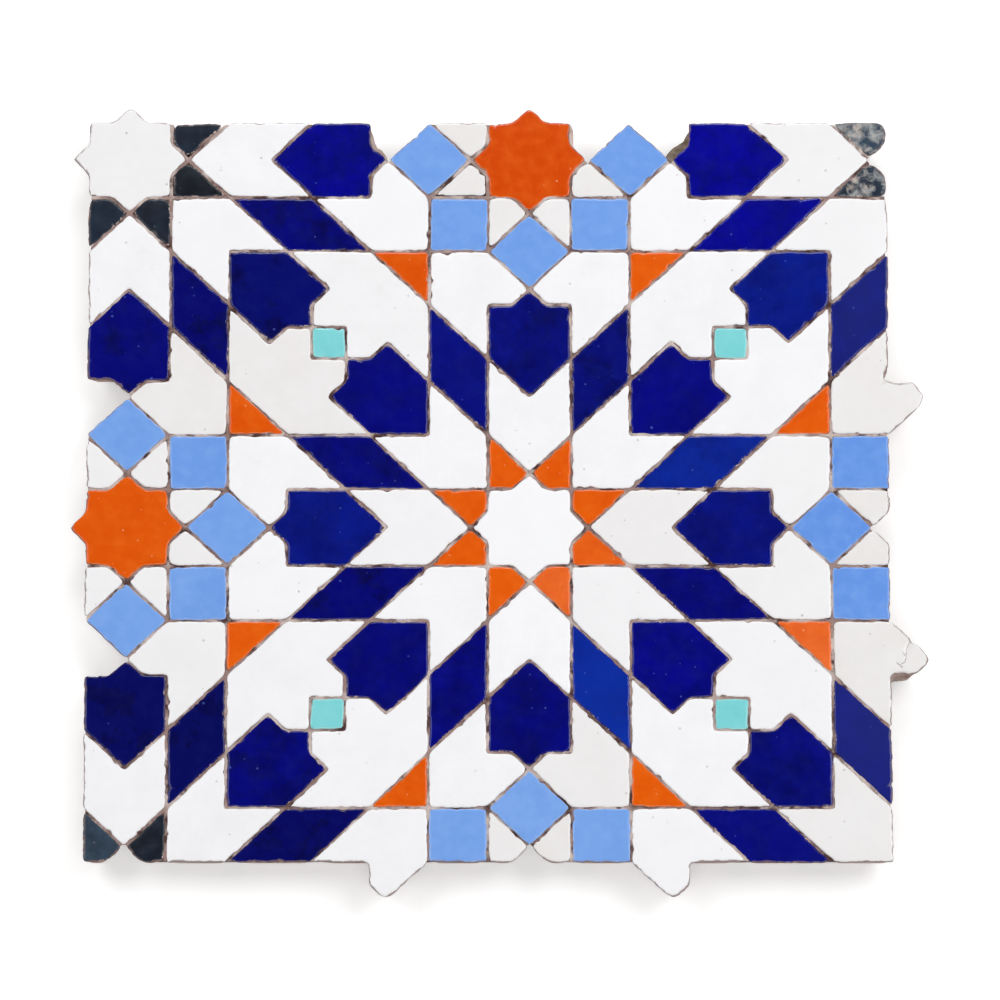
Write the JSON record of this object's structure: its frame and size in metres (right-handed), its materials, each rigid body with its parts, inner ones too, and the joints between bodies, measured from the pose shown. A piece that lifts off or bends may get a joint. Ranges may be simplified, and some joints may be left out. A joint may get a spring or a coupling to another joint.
{
  "type": "zellige mosaic tile",
  "caption": "Interlocking square zellige panel: hand-cut glazed tesserae in star rosettes, set in a mortar bed, with hooked edges that lock into like panels.",
  "frame": {"origin": "on the back face, under the centre of the middle star", "axes": "+X to the right of the pattern, +Y to its top, +Z out of the glazed face"},
  "size_m": [0.4376, 0.4376, 0.02],
  "materials": {
    "white_glaze": "hand-brushed gloss glaze with chipped edges",
    "cobalt_glaze": "hand-brushed gloss glaze with chipped edges",
    "sky_glaze": "hand-brushed gloss glaze with chipped edges",
    "turquoise_glaze": "hand-brushed gloss glaze with chipped edges",
    "orange_glaze": "hand-brushed gloss glaze with chipped edges",
    "black_glaze": "hand-brushed gloss glaze with chipped edges",
    "mortar": "rough sandy mortar"
  },
  "bodies": {
    "root": {"mortar_bed": "mortar", "bottom_hooks": "white_glaze", "bottom_kites": "white_glaze", "bottom_squares": "sky_glaze", "bottom_triangles": "orange_glaze", "corner_arrows": "white_glaze", "corner_kites": "black_glaze", "corner_lozenges": "cobalt_glaze", "corner_shields": "cobalt_glaze", "corner_star": "white_glaze", "left_hooks": "white_glaze", "left_kites": "white_glaze", "left_squares": "sky_glaze", "left_star": "orange_glaze", "left_triangles": "orange_glaze", "middle_arrows": "white_glaze", "middle_kites": "orange_glaze", "middle_lozenges": "cobalt_glaze", "middle_shields": "cobalt_glaze", "middle_star": "white_glaze", "right_hooks": "white_glaze", "right_kites": "white_glaze", "right_squares": "sky_glaze", "right_triangles": "orange_glaze", "top_hooks": "white_glaze", "top_kites": "white_glaze", "top_squares": "sky_glaze", "top_star": "orange_glaze", "top_triangles": "orange_glaze", "turquoise_squares": "turquoise_glaze", "zigzags": "white_glaze"}
  },
  "joints": []
}
